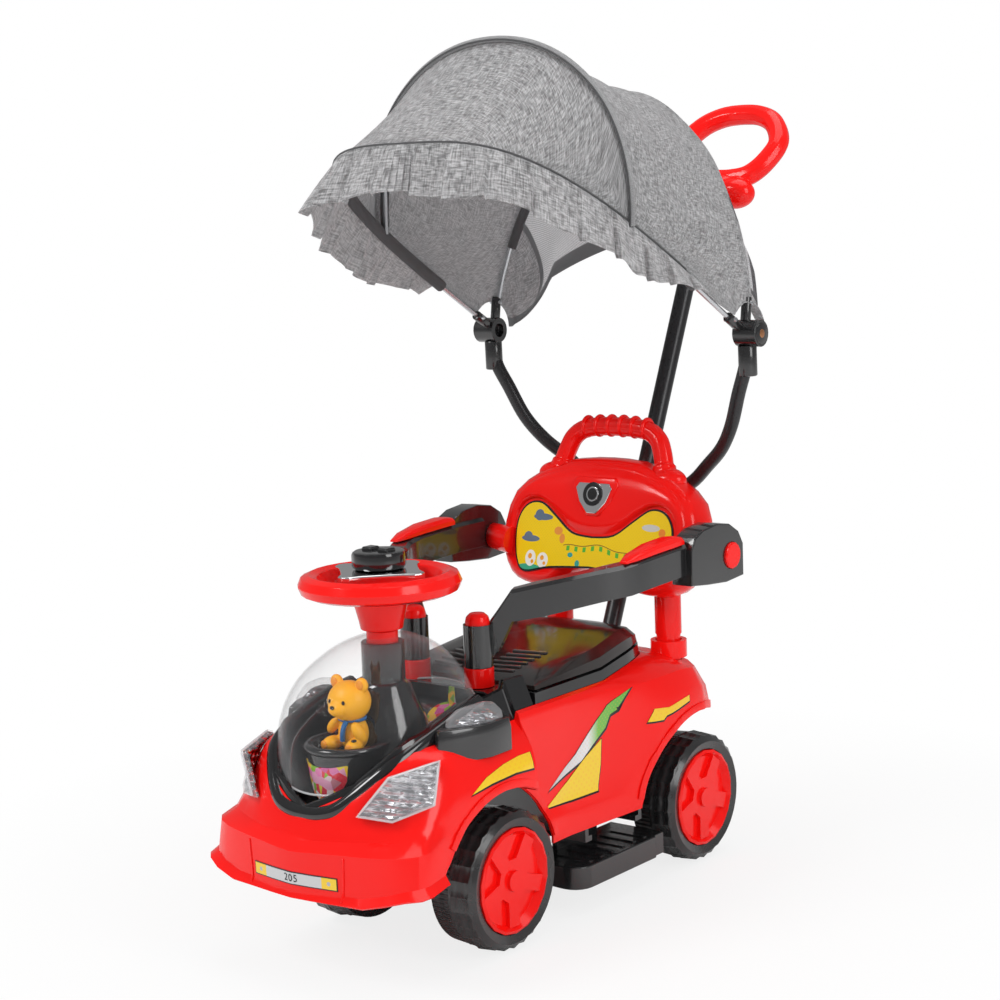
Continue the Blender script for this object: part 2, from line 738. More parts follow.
def chassis_pan():
    """The plate under the body, with the axle brackets, the steering beam and rails."""
    low, high = PAN_Z, PAN_Z + PAN_THICK
    front, rear = -WHEELBASE / 2, WHEELBASE / 2
    half = [(0.040, COLUMN_Y - 0.016), (0.040, front + 0.092), (0.1125, front + 0.112),
            (0.1125, rear - 0.130), (0.058, rear - 0.100), (0.058, TAIL_Y - 0.010)]
    outline = half + [(-x, y) for x, y in reversed(half)]
    shape = prism(outline, low, high)
    shape = union(shape, block((-0.036, front - 0.030, high - 0.001), (0.036, front + 0.022, 0.136)))
    shape = union(shape, block((-0.016, COLUMN_Y - 0.014, 0.128), (0.016, front - 0.028, 0.136)))
    shape = union(shape, block((-0.064, front - 0.011, 0.128), (0.064, front + 0.011, 0.136)))
    board_middle = (BOARD_FRONT_Y + BOARD_REAR_Y) / 2
    for sign in (1, -1):
        shape = union(shape, upright(0.010, 0.1015, 0.129, sign * KING_PIN_X, front, 16))
        ear = block((sign * 0.050 - 0.002, rear - 0.012, 0.070),
                    (sign * 0.050 + 0.002, rear + 0.012, low + 0.001))
        shape = union(shape, ear)
        for way in (1, -1):
            x0, x1 = sorted((sign * 0.003, sign * 0.114))
            y0, y1 = sorted((board_middle + way * 0.0506, board_middle + way * 0.057))
            shape = union(shape, block((x0, y0, 0.080), (x1, y1, low + 0.001)))
            y0, y1 = sorted((board_middle + way * 0.044, board_middle + way * 0.057))
            shape = union(shape, block((x0, y0, 0.080), (x1, y1, 0.0868)))
        shape = minus(shape, upright(KING_PIN_RADIUS + RUNNING, 0.09, 0.15,
                                     sign * KING_PIN_X, front, 16))
    shape = minus(shape, rod_along_x(AXLE_RADIUS + GAP, -0.06, 0.06, rear, WHEEL_RADIUS, 16))
    shape = minus(shape, upright(SHAFT_RADIUS + RUNNING, 0.11, 0.15, 0, COLUMN_Y, 16))
    new_object("chassis_pan", shape, black(), "car")


def tyre(name, side, y, body):
    """A moulded tyre; the outer half of the tread has blocks, the inner half is plain."""
    r, w, d = WHEEL_RADIUS, WHEEL_WIDTH, TREAD_DEPTH
    profile = [(HUB_RADIUS + GAP, -0.003, 0), (r - 0.010, 0.0, 0), (r - 0.002, -0.006, 1),
               (r, -w * 0.47, 1), (r - 0.002, -w * 0.53, 0), (r - 0.004, -w + 0.001, 0),
               (HUB_RADIUS + GAP, -w + 0.002, 0)]
    turns = [(TAU * (i + 0.5 * cut) / TREAD_BLOCKS, cut) for i in range(TREAD_BLOCKS)
             for cut in (0, 1)]
    rings = []
    for radius, axial, share in profile:
        rings.append([(side * (TRACK_OUTER + axial), y + (radius - d * share * cut) * math.cos(a),
                       WHEEL_RADIUS + (radius - d * share * cut) * math.sin(a))
                      for a, cut in turns])
    rings.append(rings[0])
    bm = loft(rings, cap_start=False, cap_end=False)
    new_object(name, tidy(bm), tyre_black(), body, smooth=28)


def hub(name, side, y, body):
    """A dished hub with a five-pointed star, open at the back."""
    r, w = HUB_RADIUS, WHEEL_WIDTH
    bore = AXLE_RADIUS + GAP
    back = -w + 0.004
    profile = [(bore, -0.006), (bore, back), (0.0095, back), (0.0095, -0.018),
               (r - 0.004, -0.018), (r - 0.0035, back), (r, back), (r, -0.0015),
               (r - 0.0035, 0.0), (r - 0.009, -HUB_DISH), (0.0125, -HUB_DISH),
               (0.0115, 0.0005), (0, 0.0005), (0, -0.006)]
    disc = turned(profile, 18, closed=True)
    star = []
    for i in range(HUB_SPOKES):
        for share, reach in ((-0.14, r - 0.0065), (0.14, r - 0.0065), (0.30, 0.0250),
                             (0.70, 0.0250)):
            a = TAU * (i + share) / HUB_SPOKES
            star.append((reach * math.cos(a), reach * math.sin(a)))
    spokes = prism(star, -HUB_DISH - 0.001, -0.0035)
    disc = minus(union(disc, spokes), upright(bore, -0.05, -0.006, 0, 0, 18))
    moved(disc, (0, 0, 0), math.radians(90 * side), 'Y')
    moved(disc, (side * TRACK_OUTER, y, WHEEL_RADIUS), None)
    new_object(name, disc, red(), body, smooth=30)


def rear_axle():
    axle = rod_along_x(AXLE_RADIUS, -TRACK_OUTER + 0.0065, TRACK_OUTER - 0.0065,
                       WHEELBASE / 2, WHEEL_RADIUS, 16)
    new_object("rear_axle", axle, steel(), "car")


def knuckle(name, side, body):
    """Upright block with the king pin, the stub axle and the steering arm."""
    x, y = side * KING_PIN_X, -WHEELBASE / 2
    shape = block((x - 0.010, y - 0.010, 0.068), (x + 0.010, y + 0.010, 0.100), 0.001)
    shape = union(shape, upright(KING_PIN_RADIUS, 0.09, 0.140, x, y, 16))
    cap = [(0, 0.1365), (0.0075, 0.1365), (0.0075, 0.141), (0, 0.141)]
    shape = union(shape, moved(turned(cap, 16), (x, y, 0)))
    x0, x1 = sorted((side * (KING_PIN_X + 0.005), side * (TRACK_OUTER - 0.0065)))
    shape = union(shape, rod_along_x(AXLE_RADIUS, x0, x1, y, WHEEL_RADIUS, 16))
    tip = y - STEER_ARM
    arm = block((x - 0.006, tip - 0.006, 0.090), (x + 0.006, y, 0.097))
    shape = union(shape, arm)
    shape = union(shape, upright(0.003, 0.094, 0.114, x, tip, 12))
    new_object(name, shape, steel(), body)


def slot(x, y, half_length, radius, low, high):
    """Cutter for a hole stretched along Y."""
    outline = [(x + a, y + half_length + b) for a, b in arc((0, 0), radius, 0, 180, 8)]
    outline += [(x + a, y - half_length + b) for a, b in arc((0, 0), radius, 180, 360, 8)]
    return prism(outline, low, high)


def tie_rod():
    y = -WHEELBASE / 2 - STEER_ARM
    shape = block((-0.062, y - 0.007, 0.1045), (0.062, y + 0.010, 0.110), 0.001)
    middle = block((-0.011, y - 0.008, 0.1045), (0.011, y + 0.016, 0.110), 0.001)
    shape = union(shape, middle)
    for sign in (1, -1):
        shape = minus(shape, slot(sign * KING_PIN_X, y + 0.0013, 0.0016, 0.0036, 0.10, 0.12))
    shape = minus(shape, slot(0, y + 0.0032, 0.0036, 0.0048, 0.10, 0.12))
    new_object("tie_rod", shape, steel(), "tie_rod")


def steering_pieces():
    """Wheel, trim, horn box and the shaft with its crank, all turning together."""
    z, r, t = STEER_RIM_Z, STEER_RIM_RADIUS, STEER_TUBE
    d = t * 0.707
    profile = [(SHAFT_RADIUS + GAP, COLUMN_TOP_Z - 0.007), (NECK_RADIUS, COLUMN_TOP_Z - 0.007),
               (NECK_RADIUS, RIBBED_Z - 0.013), (RIBBED_LOW_RADIUS, RIBBED_Z - 0.011),
               (RIBBED_LOW_RADIUS + 0.002, RIBBED_Z - 0.001), (RIBBED_TOP_RADIUS, z - 0.016),
               (r - 0.016, z - 0.0125), (r, z - t), (r + d, z - d), (r + t, z), (r + d, z + d),
               (r, z + t), (r - d, z + d), (r - t, z - 0.001), (r - t - 0.005, z - 0.006),
               (0.050, z - 0.004), (0.044, z + 0.005), (SHAFT_RADIUS + GAP, z + 0.005)]
    shape = turned(profile, 28, closed=True)
    new_object("steering_wheel", moved(shape, (0, COLUMN_Y, 0)), red(), "steering")

    trim_low = STEER_RIM_Z + 0.005 + GAP
    star = []
    for i in range(4):
        for share, reach in ((-0.09, 0.0590), (0.0, 0.0615), (0.09, 0.0590), (0.20, 0.0490),
                             (0.5, 0.0430), (0.80, 0.0490)):
            a = TAU * (i + share) / 4
            star.append((reach * math.cos(a), reach * math.sin(a)))
    trim = prism(star, trim_low, trim_low + 0.010, bevel=0.002)
    new_object("wheel_trim", moved(trim, (0, COLUMN_Y, 0)), chrome(), "steering", smooth=30)

    box_low = trim_low + 0.010 + GAP
    outline = [(HORN_RADIUS * math.cos(TAU * (i + 0.5) / 12),
                HORN_RADIUS * math.sin(TAU * (i + 0.5) / 12)) for i in range(12)]
    box = prism(outline, box_low, box_low + HORN_HEIGHT, bevel=0.004)
    for sign in (1, -1):
        well = block((sign * 0.0115 - 0.0073, -0.0083, box_low + HORN_HEIGHT - 0.010),
                     (sign * 0.0115 + 0.0073, 0.0083, box_low + 0.05))
        box = minus(box, well)
    new_object("horn_box", moved(box, (0, COLUMN_Y, 0)), gloss_black(), "steering", smooth=30)
    for sign, name in ((1, "left"), (-1, "right")):
        button = block((sign * 0.0115 - 0.007, -0.008, box_low + HORN_HEIGHT - 0.0055),
                       (sign * 0.0115 + 0.007, 0.008, box_low + HORN_HEIGHT + 0.0035), 0.0015)
        new_object("horn_button_" + name, moved(button, (0, COLUMN_Y, 0)), black(),
                   "horn_button_" + name)

    shaft = turned([(0, 0.116), (0.008, 0.116), (0.008, 0.122), (SHAFT_RADIUS, 0.1225),
                    (SHAFT_RADIUS, STEER_RIM_Z + 0.0045), (0, STEER_RIM_Z + 0.0045)], 16)
    crank = block((-0.006, -CRANK_LENGTH - 0.005, 0.116), (0.006, 0.0, 0.122), 0.001)
    shaft = union(shaft, crank, upright(0.003, 0.100, 0.118, 0, -CRANK_LENGTH, 12))
    new_object("steering_shaft", moved(shaft, (0, COLUMN_Y, 0)), steel(), "steering")


# Front trim

def bear():
    """A small seated bear in the round well of the console."""
    parts = []

    def ball(centre, size, segments=12, rings=8):
        bm = bmesh.new()
        bmesh.ops.create_uvsphere(bm, u_segments=segments, v_segments=rings, radius=1.0)
        bmesh.ops.scale(bm, vec=size, verts=bm.verts)
        bmesh.ops.translate(bm, vec=centre, verts=bm.verts)
        parts.append(bm)
    y, z = -0.3155, 0.2404
    ball((0, y + 0.004, z + 0.0155), (0.0165, 0.0145, 0.0185), 10, 6)
    ball((0, y, z + 0.0475), (0.0225, 0.0205, 0.0205), 12, 8)
    ball((0, y - 0.0185, z + 0.0435), (0.0095, 0.0070, 0.0075), 8, 5)
    for sign in (1, -1):
        ball((sign * 0.0165, y + 0.002, z + 0.0640), (0.0078, 0.0050, 0.0078), 8, 5)
        ball((sign * 0.0150, y - 0.0115, z + 0.0060), (0.0068, 0.0115, 0.0062), 8, 5)
        ball((sign * 0.0170, y - 0.0030, z + 0.0230), (0.0058, 0.0090, 0.0058), 6, 5)
    shape = union(*parts)
    foot = block((-0.05, -0.40, 0.20), (0.05, -0.25, z))
    new_object("bear", minus(shape, foot), orange(), "car")


def head_lamp(name, side):
    """A faceted lamp let into the front fender."""
    n, f = NOSE_Y, FENDER_HALF
    front = [(f - 0.066, n + 0.030, 0.192), (f - 0.036, n + 0.047, 0.233),
             (f - 0.017, n + 0.106, 0.240), (f - 0.008, n + 0.085, 0.199),
             (f - 0.035, n + 0.049, 0.186)]
    middle = Vector((0, 0, 0))
    for p in front:
        middle += Vector(p) / len(front)
    outward = Vector((0.55, -0.75, 0.36)).normalized()
    rings = [[Vector(p) - outward * 0.003 for p in front],
             [Vector(p) + outward * 0.0035 for p in front],
             [middle + (Vector(p) - middle) * 0.72 + outward * 0.0075 for p in front]]
    shape = tidy(loft(rings))
    if side < 0:
        mirrored(shape)
    return name, shape


def head_lamps():
    """Both lamps, each standing clear of the body by a small gap."""
    for side, label in ((1, "left"), (-1, "right")):
        name, shape = head_lamp("headlight_" + label, side)
        shape = minus(shape, body_volume(0.0010))
        new_object(name, shape, chrome(), "car", smooth=20)


def body_volume(clearance):
    """A closed solid of the body's outer surface, blown up by a clearance."""
    sections = shell_sections()
    rings = [[section[k] for section in sections] for k in range(len(sections[0]))]
    bm = tidy(loft(rings))
    bm.normal_update()
    for vert in bm.verts:
        vert.co = vert.co + vert.normal * clearance
    return bm


def pods():
    """The two black light pods on the front fenders and their clear lenses."""
    for side, label in ((1, "left"), (-1, "right")):
        foot = [(0.1095, -0.250), (0.121, -0.254), (0.134, -0.233), (0.131, -0.197),
                (0.1095, -0.180)]
        top = [(0.1070, -0.241), (0.115, -0.247), (0.128, -0.230), (0.126, -0.203),
               (0.115, -0.189), (0.1070, -0.190)]
        shape = tidy(loft([[(x, y, 0.222) for x, y in foot], [(x, y, 0.240) for x, y in foot],
                           [(x - 0.002, y, 0.2585) for x, y in foot]]))
        slab = tidy(loft([[(x, y, 0.2580) for x, y in top], [(x, y, 0.2640) for x, y in top]]))
        shape = union(shape, slab)
        if side < 0:
            mirrored(shape)
        shape = minus(shape, body_volume(0.0010))
        new_object("pod_" + label, shape, black(), "car", smooth=20)
        middle = Vector((0.1165, -0.2165))
        rings = []
        for scale, z in ((0.94, 0.2643), (0.94, 0.271), (0.80, 0.278), (0.50, 0.2815)):
            rings.append([(middle.x + (x - middle.x) * scale, middle.y + (y - middle.y) * scale, z)
                          for x, y in top])
        lens = tidy(loft(rings))
        if side < 0:
            mirrored(lens)
        new_object("pod_lens_" + label, lens, clear(), "car", smooth=20)


# Seat

def seat_loop():
    """Closed plan loop of the seat opening behind the console."""
    side = split_opening(TRAY_FRONT_Y, False)
    corner = side[0]
    front = [Vector((corner.x * k, TRAY_FRONT_Y, corner.z)) for k in (-0.6, -0.2, 0.2, 0.6)]
    other = [Vector((-p.x, p.y, p.z)) for p in side[-2::-1]]
    return side + other + front


def seat_tray():
    """Storage bin below the seat, hung on the rim of the opening."""
    loop = seat_loop()
    rings = []
    for inset, lift in ((0.0055, -0.015), (0.0045, -0.0030), (0.0008, -0.0008),
                        (0.0024, TRAY_RISE), (0.0090, TRAY_RISE)):
        ring = inset_loop(loop, inset)
        for p in ring:
            p.z += lift
        rings.append(ring)
    for inset, z in ((0.0115, SHOULDER_Z - 0.010), (0.0150, SHOULDER_Z - TRAY_DEPTH + 0.004),
                     (0.0190, SHOULDER_Z - TRAY_DEPTH)):
        ring = inset_loop(loop, inset)
        for p in ring:
            p.z = z
        rings.append(ring)
    sheet = loft(rings, cap_start=False, cap_end=True)
    bmesh.ops.recalc_face_normals(sheet, faces=sheet.faces)
    if max(sheet.faces, key=lambda face: len(face.verts)).normal.z < 0:
        bmesh.ops.reverse_faces(sheet, faces=sheet.faces)
    new_object("seat_tray", solid_of_sheet(sheet, 0.0024), black(), "car")


def seat_height(y):
    """Top of the seat lid along the middle."""
    return track(y, [(TRAY_FRONT_Y, LID_FRONT_Z), (-0.040, LID_TOP_Z - 0.008),
                     (0.015, LID_TOP_Z - 0.001), (0.050, LID_TOP_Z + 0.006),
                     (0.085, LID_TOP_Z + 0.009), (0.115, LID_TOP_Z + 0.004),
                     (0.135, LID_TOP_Z - 0.012), (OPENING_REAR_Y, LID_TOP_Z - 0.024)])


def seat_lid():
    """Smoked lid with a hump at the rear; it hinges at its front edge."""
    loop = inset_loop(seat_loop(), 0.0034)
    middle = Vector((0, (TRAY_FRONT_Y + OPENING_REAR_Y) / 2 + 0.012, 0))
    rings = []
    for share, rise in ((1.0, 0.0), (0.985, 0.45), (0.90, 0.86), (0.72, 0.97), (0.48, 1.0),
                        (0.24, 1.0)):
        ring = []
        for p in loop:
            edge = p.z + TRAY_RISE + 0.0006 + 0.0026
            q = middle + (p - middle) * share
            q.y = max(q.y, TRAY_FRONT_Y + 0.0034)
            q.z = edge + (max(seat_height(q.y), edge + 0.001) - edge) * rise
            ring.append(q)
        rings.append(ring)
    sheet = loft(rings, cap_start=False, cap_end=True)
    bmesh.ops.recalc_face_normals(sheet, faces=sheet.faces)
    if max(sheet.faces, key=lambda face: len(face.verts)).normal.z < 0:
        bmesh.ops.reverse_faces(sheet, faces=sheet.faces)
    new_object("seat_lid", solid_of_sheet(sheet, LID_THICK * 0.8), smoked(), "seat_lid")


# Posts, backrest and arms

def front_post(name, side):
    low = POST_RING_Z
    base = [(0, low + 0.0005), (POST_RADIUS + 0.0006, low + 0.0005),
            (POST_RADIUS + 0.0006, SLEEVE_LOW_Z - 0.0012), (POST_RADIUS, SLEEVE_LOW_Z - 0.0005),
            (0.0072, SLEEVE_LOW_Z - 0.0005), (0.0045, SLEEVE_LOW_Z + 0.015),
            (0, SLEEVE_LOW_Z + 0.015)]
    shape = moved(turned(base, 20), (side * POST_X, POST_Y, 0))
    new_object(name, shape, red(), "car")


def rear_post(name, side):
    r = REAR_POST_RADIUS
    profile = [(0, REAR_POST_FOOT_Z), (r - 0.0015, REAR_POST_FOOT_Z), (r - 0.0015, DECK_Z + 0.015),
               (r, DECK_Z + 0.017), (r, REAR_POST_TOP_Z), (0, REAR_POST_TOP_Z)]
    new_object(name, moved(turned(profile, 20), (side * REAR_POST_X, REAR_POST_Y, 0)), red(), "car")


def back_point(x, s, depth):
    """A point of the backrest: s runs up its middle plane, depth runs to the rear."""
    up = Vector((0, math.sin(BACK_LEAN), math.cos(BACK_LEAN)))
    rear = Vector((0, math.cos(BACK_LEAN), -math.sin(BACK_LEAN)))
    origin = Vector((x, BACK_Y, BACK_REF_Z))
    return origin + up * ((s - BACK_REF_Z) / math.cos(BACK_LEAN)) + rear * depth


def back_outline():
    """Half outline of the backrest from the top middle to the bottom middle."""
    h, top, low = BACK_HALF, BACK_TOP_Z, BACK_LOW_Z
    keys = [(0, top, 0), (0.052, top - 0.003, 0), (0.100, top - 0.019, 0), (h - 0.011, top - 0.047, 0),
            (h + 0.0015, top - 0.087, 0), (h - 0.002, low + 0.040, 0), (h - 0.019, low + 0.013, 0),
            (0.108, low + 0.0015, 0), (0.083, low - 0.001, 0), (0.058, low + 0.004, 0),
            (0.036, low + 0.021, 0), (0, low + 0.028, 0)]
    half = smooth_points(keys, 2)
    return half + [Vector((-p.x, p.y, 0)) for p in half[-2:0:-1]]


def backrest():
    """Pillow-shaped backrest with its carrying handle and the arm bosses."""
    outline = [Vector((p.x, p.y, 0)) for p in back_outline()]
    outline.reverse()
    t = BACK_THICK / 2
    rings = []
    for depth, inset in ((-t, 0.017), (-t + 0.0035, 0.0085), (-t + 0.010, 0.0030), (0, 0.0),
                         (t - 0.010, 0.0030), (t - 0.0035, 0.0085), (t, 0.017)):
        rings.append([back_point(p.x, p.y, depth) for p in inset_loop(outline, inset)])
    shape = tidy(loft(rings))
    h, top = HANDLE_HALF, HANDLE_TOP_Z
    path = [(-h, BACK_TOP_Z - 0.030, 0), (-h, BACK_TOP_Z + 0.005, 0), (-h + 0.002, top - 0.020, 0)]
    path += [(-x, z, 0) for x, z in ((h - 0.010, top - 0.006), (h - 0.026, top), (h - 0.052, top + 0.002))]
    path += [(0, top + 0.0025, 0)]
    path += [(-x, z, 0) for x, z, _ in path[-2::-1]]
    bar = [back_point(p.x, p.y, -0.002) for p in smooth_points(path, 1)]
    shape = union(shape, rod(bar, HANDLE_TUBE, 8))
    for sign in (1, -1):
        collar = [back_point(sign * h, z, -0.002) for z in (BACK_TOP_Z - 0.03, BACK_TOP_Z + 0.001)]
        shape = union(shape, rod(collar, HANDLE_TUBE + 0.0025, 12))
        x0, x1 = sorted((sign * (BACK_HALF - 0.025), sign * (ARM_INNER_X + 0.0055)))
        boss = rod_along_x(ARM_BOSS_RADIUS, x0, x1, ARM_PIVOT_Y, ARM_PIVOT_Z, 16)
        x0, x1 = sorted((sign * (BACK_HALF - 0.02), sign * (ARM_INNER_X + 0.018)))
        pin = rod_along_x(0.008, x0, x1, ARM_PIVOT_Y, ARM_PIVOT_Z, 12)
        shape = union(shape, boss, pin)
        hole = upright(REAR_POST_RADIUS + GAP, 0.28, REAR_POST_TOP_Z + GAP,
                       sign * REAR_POST_X, REAR_POST_Y, 20)
        shape = minus(shape, hole)
    shape = minus(shape, pole_piece(POLE_RADIUS + 0.003, 0.0, 0.30, 16))
    new_object("backrest", shape, red(), "car", smooth=35)


def back_badges():
    """The printed panel and the small badge on the front of the backrest."""
    t = BACK_THICK / 2
    keys = [(0, 0.395, 0), (0.032, 0.399, 0), (0.060, 0.418, 0), (0.083, 0.4325, 0), (0.103, 0.430, 0),
            (0.115, 0.414, 0), (0.117, 0.390, 0), (0.111, 0.362, 0), (0.098, 0.350, 0),
            (0.060, 0.357, 0), (0, 0.361, 0)]
    half = smooth_points(keys, 2)
    outline = half + [Vector((-p.x, p.y, 0)) for p in half[-2:0:-1]]
    rings = [[back_point(p.x, p.y, -t - lift) for p in outline] for lift in (GAP, 0.0014)]
    new_object("backrest_panel", tidy(loft(rings)), yellow(), "car")
    keys = [(-0.023, 0.463), (0.023, 0.463), (0.0275, 0.457), (0.020, 0.440), (0.007, 0.4265),
            (-0.007, 0.4265), (-0.020, 0.440), (-0.0275, 0.457)]
    rings = [[back_point(x, s, -t - lift) for x, s in keys] for lift in (GAP, 0.0022)]
    new_object("badge", tidy(loft(rings)), chrome(), "car", smooth=20)


def arm(side, label):
    """Safety arm: rear housing, slanted bar and the front sleeve."""
    thick, height = ARM_THICK, ARM_HEIGHT
    outer = [(0.187, 0.135, 0.419), (0.1865, 0.080, 0.4185), (0.1855, 0.010, 0.415),
             (0.180, -0.025, 0.411), (0.160, -0.060, 0.407), (0.115, -0.105, 0.397),
             (0.082, -0.122, 0.389), (0.067, -0.129, 0.366), (0.055, -0.134, 0.349)]
    lows = [height, height, height, height, height, 0.038, 0.036, 0.046, 0.043]
    rings = []
    for i, ((x, y, z), low) in enumerate(zip(outer, lows)):
        before, after = outer[max(i - 1, 0)], outer[min(i + 1, len(outer) - 1)]
        along = Vector((after[0] - before[0], after[1] - before[1])).normalized()
        inward = Vector((along.y, -along.x))
        if inward.x > 0:
            inward = -inward
        width = thick if i < 6 else (0.024 if i == 6 else 0.020)
        ring = []
        for share, depth in ((0.0, 0.004), (0.15, 0.0), (0.85, 0.0), (1.0, 0.004), (1.0, low),
                             (0.0, low)):
            ring.append((side * (x + inward.x * width * share), y + inward.y * width * share,
                         z - depth))
        rings.append(ring)
    shape = tidy(loft(rings))
    pad_outline = [(0.075, 0.370), (0.075, 0.412), (0.083, 0.425), (0.100, 0.4325), (0.130, 0.436),
                   (0.158, 0.432), (0.177, 0.421), (0.187, 0.405), (0.187, 0.366), (0.150, 0.363),
                   (0.110, 0.366)]
    x0, x1 = sorted((side * (ARM_INNER_X + 0.006), side * 0.195))
    housing = prism(pad_outline, x0, x1, 'X', bevel=0.002)
    shape = union(shape, housing)
    sleeve = turned([(0, SLEEVE_LOW_Z), (POST_RADIUS, SLEEVE_LOW_Z), (POST_RADIUS, SLEEVE_TOP_Z),
                     (0, SLEEVE_TOP_Z)], 16)
    moved(sleeve, (side * POST_X, POST_Y, 0))
    shape = union(shape, sleeve)
    cut = turned([(0, SLEEVE_LOW_Z - 0.01), (0.0135, SLEEVE_LOW_Z - 0.01),
                  (0.0135, SLEEVE_LOW_Z + 0.020), (0.0060, SLEEVE_LOW_Z + 0.022),
                  (0.0060, SLEEVE_TOP_Z - 0.0045), (0.0147, SLEEVE_TOP_Z - 0.0045),
                  (0.0147, SLEEVE_TOP_Z + 0.03), (0, SLEEVE_TOP_Z + 0.03)], 16)
    shape = minus(shape, moved(cut, (side * POST_X, POST_Y, 0)))
    x0, x1 = sorted((side * (ARM_INNER_X - 0.01), side * (ARM_INNER_X + 0.0195)))
    shape = minus(shape, rod_along_x(0.0087, x0, x1, ARM_PIVOT_Y, ARM_PIVOT_Z, 12))
    x0, x1 = sorted((side * 0.185, side * 0.21))
    shape = minus(shape, rod_along_x(ARM_BUTTON_RADIUS + 0.0005, x0, x1, ARM_PIVOT_Y,
                                     ARM_PIVOT_Z + 0.002, 16))
    new_object("arm_" + label, shape, black(), "arm_" + label, smooth=35)

    rings = []
    for y, half, lift in ((0.0745, 0.0135, 0.0090), (0.060, 0.0135, 0.0115), (0.020, 0.0130, 0.0110),
                          (-0.015, 0.0100, 0.0075), (-0.030, 0.0050, 0.0030)):
        base = track(y, [(-0.060, 0.407), (-0.025, 0.411), (0.010, 0.415), (0.080, 0.4185)]) + 0.0008
        x = 0.1720 if y > 0 else 0.1715
        rings.append([(side * (x + half * k), y, base + lift * rise)
                      for k, rise in ((-1, 0), (-1, 0.5), (-0.7, 0.9), (0, 1), (0.7, 0.9), (1, 0.5),
                                      (1, 0))])
    pad = tidy(loft(rings))
    new_object("arm_pad_" + label, pad, red(), "arm_" + label)

    low = SLEEVE_TOP_Z
    dome = turned([(0, low - 0.017), (0.0055, low - 0.017), (0.0055, low - 0.0015),
                   (0.0141, low - 0.0012), (0.0141, low + 0.0035), (0.0128, low + 0.0085),
                   (0.0085, low + 0.0125), (0, DOME_TOP_Z)], 16)
    new_object("latch_button_" + label, moved(dome, (side * POST_X, POST_Y, 0)), red(),
               "latch_button_" + label)
    knob = turned([(0, 0.1885), (ARM_BUTTON_RADIUS, 0.1885), (ARM_BUTTON_RADIUS, 0.1970),
                   (ARM_BUTTON_RADIUS - 0.0015, 0.1985), (0, 0.1985)], 16)
    moved(knob, (0, 0, 0), math.radians(90 * side), 'Y')
    new_object("hinge_button_" + label, moved(knob, (0, ARM_PIVOT_Y, ARM_PIVOT_Z + 0.002)), red(),
               "hinge_button_" + label)


# Push handle and canopy

def push_pole():
    pole = pole_piece(POLE_RADIUS, -0.045, POLE_LENGTH, 16)
    new_object("push_pole", pole, black(), "car")


def pole_at(length):
    """A point on the push pole's axis."""
    return Vector((0, POLE_FOOT[0] + length * math.sin(POLE_LEAN),
                   POLE_FOOT[1] + length * math.cos(POLE_LEAN)))


def push_handle():
    """D-shaped grip on a tapered knuckle that caps the pole."""
    lean = math.radians(HANDLE_LEAN)
    start = pole_at(POLE_LENGTH + GAP)
    up = Vector((0, math.sin(lean), math.cos(lean)))
    rear = Vector((0, math.cos(lean), -math.sin(lean)))

    def at(x, s, depth=0.0):
        return start + Vector((x, 0, 0)) + up * s + rear * depth
    half_keys = [(0, HANDLE_LOW), (0.026, HANDLE_LOW), (0.050, HANDLE_LOW + 0.006),
                 (0.067, HANDLE_LOW + 0.027), (LOOP_HALF, HANDLE_HIGH - 0.052),
                 (0.057, HANDLE_HIGH - 0.020), (0.031, HANDLE_HIGH - 0.004), (0, HANDLE_HIGH)]
    keys = half_keys + [(-x, s) for x, s in half_keys[-2:0:-1]]
    loop = smooth_points([(x, s, 0) for x, s in keys], 2, ring=True)
    shape = rod([at(p.x, p.y) for p in loop], LOOP_TUBE, 8, ring=True)
    rings = []
    for s, half, thick in ((-0.008, 0.030, 0.019), (0.006, 0.056, 0.022), (0.020, 0.067, 0.022),
                           (0.036, 0.064, 0.017), (0.050, 0.048, 0.011)):
        ring = [(half, -thick * 0.5), (half, thick * 0.5), (half * 0.7, thick), (-half * 0.7, thick),
                (-half, thick * 0.5), (-half, -thick * 0.5), (-half * 0.7, -thick),
                (half * 0.7, -thick)]
        rings.append([at(x, s, d) for x, d in ring])
    knuckle_shape = tidy(loft(rings))
    sleeve = turned([(0, POLE_LENGTH - 0.044), (POLE_RADIUS + 0.004, POLE_LENGTH - 0.044),
                     (POLE_RADIUS + 0.005, POLE_LENGTH - 0.034),
                     (POLE_RADIUS + 0.0150, POLE_LENGTH - 0.026),
                     (POLE_RADIUS + 0.0185, POLE_LENGTH - 0.012),
                     (POLE_RADIUS + 0.0110, POLE_LENGTH + 0.006), (0, POLE_LENGTH + 0.014)], 20)
    moved(sleeve, (0, POLE_FOOT[0], POLE_FOOT[1]), -POLE_LEAN, 'X')
    shape = union(shape, knuckle_shape, sleeve)
    bore = pole_piece(POLE_RADIUS + GAP, POLE_LENGTH - 0.06, POLE_LENGTH + GAP, 20)
    new_object("push_handle", minus(shape, bore), red(), "car", smooth=35)


def canopy_point(x, reach, tilt):
    """A point in the plane through the canopy's pivot axis at a tilt from the front."""
    return Vector((x, CANOPY_Y - reach * math.cos(tilt), CANOPY_Z + reach * math.sin(tilt)))


def arch(t, power):
    """Squarish arch: the share of the half width and the share of the height."""
    c, s = math.cos(t), abs(math.sin(t))
    return math.copysign(abs(c) ** power, c), s ** power


